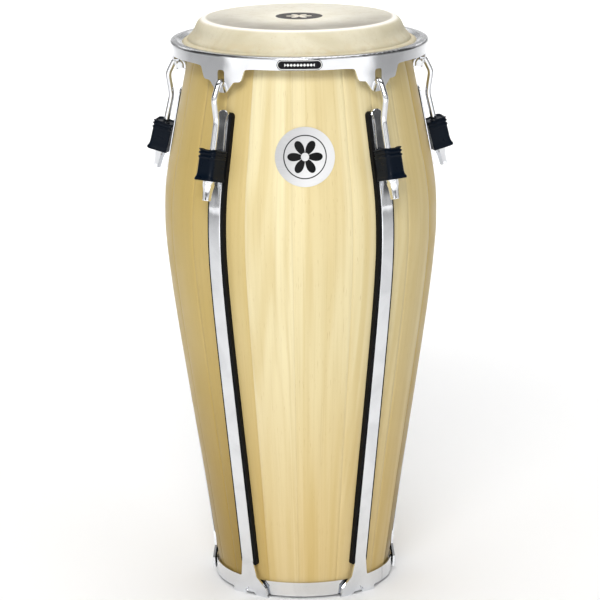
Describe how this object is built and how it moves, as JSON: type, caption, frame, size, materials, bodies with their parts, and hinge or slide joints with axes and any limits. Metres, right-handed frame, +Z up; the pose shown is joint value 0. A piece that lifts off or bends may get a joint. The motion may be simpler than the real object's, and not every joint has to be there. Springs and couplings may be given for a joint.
{
  "type": "conga drum",
  "caption": "Tall staved hand drum with a hide head, chrome tuning rim, hooked tuning rods with nuts, side ribs on rubber strips and a base ring with feet.",
  "frame": {"origin": "on the drum's axis at floor level, under the open base", "axes": "+Z up along the drum's axis, the front with the badges faces -Y, +X is to the right seen from the front"},
  "size_m": [0.4124, 0.3947, 0.766],
  "materials": {
    "shell_wood": "clear gloss lacquer over pale staves",
    "hide": "natural rawhide, mottled",
    "chrome": "polished plate",
    "hoop_steel": "plain wire",
    "boot_rubber": "satin",
    "pad_rubber": "satin",
    "rim_badge_enamel": "gloss black with a pale edge line",
    "shell_badge_enamel": "satin silver with a dark mark"
  },
  "bodies": {
    "drum": {"shell_staves": "shell_wood", "shell_badge": "shell_badge_enamel", "skin_crown": "hide", "skin_shoulder": "hide", "skin_collar": "hide", "base_ring": "chrome", "rib_1": "chrome", "rib_2": "chrome", "rib_3": "chrome", "rib_4": "chrome", "rib_5": "chrome", "pad_1": "pad_rubber", "pad_2": "pad_rubber", "pad_3": "pad_rubber", "pad_4": "pad_rubber", "pad_5": "pad_rubber", "bracket_1": "chrome", "bracket_2": "chrome", "bracket_3": "chrome", "bracket_4": "chrome", "bracket_5": "chrome", "boot_1": "boot_rubber", "boot_2": "boot_rubber", "boot_3": "boot_rubber", "boot_4": "boot_rubber", "boot_5": "boot_rubber"},
    "rim": {"rim": "chrome", "rim_badge": "rim_badge_enamel", "flesh_hoop": "hoop_steel", "skin_roll": "hide"},
    "hook_1": {"hook_1": "chrome"},
    "hook_2": {"hook_2": "chrome"},
    "hook_3": {"hook_3": "chrome"},
    "hook_4": {"hook_4": "chrome"},
    "hook_5": {"hook_5": "chrome"},
    "nut_1": {"nut_1": "chrome"},
    "nut_2": {"nut_2": "chrome"},
    "nut_3": {"nut_3": "chrome"},
    "nut_4": {"nut_4": "chrome"},
    "nut_5": {"nut_5": "chrome"}
  },
  "joints": [
    {"name": "rim_slide", "type": "slide", "parent": "drum", "child": "rim", "axis": [0, 0, -1], "range_m": [-0.004, 0.004], "deforming": ["skin_collar"]},
    {"name": "hook_1_slide", "type": "slide", "parent": "drum", "child": "hook_1", "axis": [-0.1372, -0.1889, -0.9724], "range_m": [-0.00412, 0.00412]},
    {"name": "hook_2_slide", "type": "slide", "parent": "drum", "child": "hook_2", "axis": [0.1372, -0.1889, -0.9724], "range_m": [-0.00412, 0.00412]},
    {"name": "hook_3_slide", "type": "slide", "parent": "drum", "child": "hook_3", "axis": [0.222, 0.0721, -0.9724], "range_m": [-0.00412, 0.00412]},
    {"name": "hook_4_slide", "type": "slide", "parent": "drum", "child": "hook_4", "axis": [0, 0.2334, -0.9724], "range_m": [-0.00412, 0.00412]},
    {"name": "hook_5_slide", "type": "slide", "parent": "drum", "child": "hook_5", "axis": [-0.222, 0.0721, -0.9724], "range_m": [-0.00412, 0.00412]},
    {"name": "nut_1_turn", "type": "hinge", "parent": "drum", "child": "nut_1", "pos_m": [-0.11621, -0.15994, 0.5804], "axis": [-0.1372, -0.1889, -0.9724], "range_deg": [-1190, 1190]},
    {"name": "nut_2_turn", "type": "hinge", "parent": "drum", "child": "nut_2", "pos_m": [0.11621, -0.15994, 0.5804], "axis": [0.1372, -0.1889, -0.9724], "range_deg": [-1190, 1190]},
    {"name": "nut_3_turn", "type": "hinge", "parent": "drum", "child": "nut_3", "pos_m": [0.18802, 0.06109, 0.5804], "axis": [0.222, 0.0721, -0.9724], "range_deg": [-1190, 1190]},
    {"name": "nut_4_turn", "type": "hinge", "parent": "drum", "child": "nut_4", "pos_m": [0, 0.1977, 0.5804], "axis": [0, 0.2334, -0.9724], "range_deg": [-1190, 1190]},
    {"name": "nut_5_turn", "type": "hinge", "parent": "drum", "child": "nut_5", "pos_m": [-0.18802, 0.06109, 0.5804], "axis": [-0.222, 0.0721, -0.9724], "range_deg": [-1190, 1190]}
  ],
  "couplings": [
    {"joint": "hook_1_slide", "follows": "rim_slide", "ratio": 1.0284},
    {"joint": "hook_2_slide", "follows": "rim_slide", "ratio": 1.0284},
    {"joint": "hook_3_slide", "follows": "rim_slide", "ratio": 1.0284},
    {"joint": "hook_4_slide", "follows": "rim_slide", "ratio": 1.0284},
    {"joint": "hook_5_slide", "follows": "rim_slide", "ratio": 1.0284},
    {"joint": "nut_1_turn", "follows": "rim_slide", "rad_per_m": -5169.4},
    {"joint": "nut_2_turn", "follows": "rim_slide", "rad_per_m": -5169.4},
    {"joint": "nut_3_turn", "follows": "rim_slide", "rad_per_m": -5169.4},
    {"joint": "nut_4_turn", "follows": "rim_slide", "rad_per_m": -5169.4},
    {"joint": "nut_5_turn", "follows": "rim_slide", "rad_per_m": -5169.4}
  ]
}
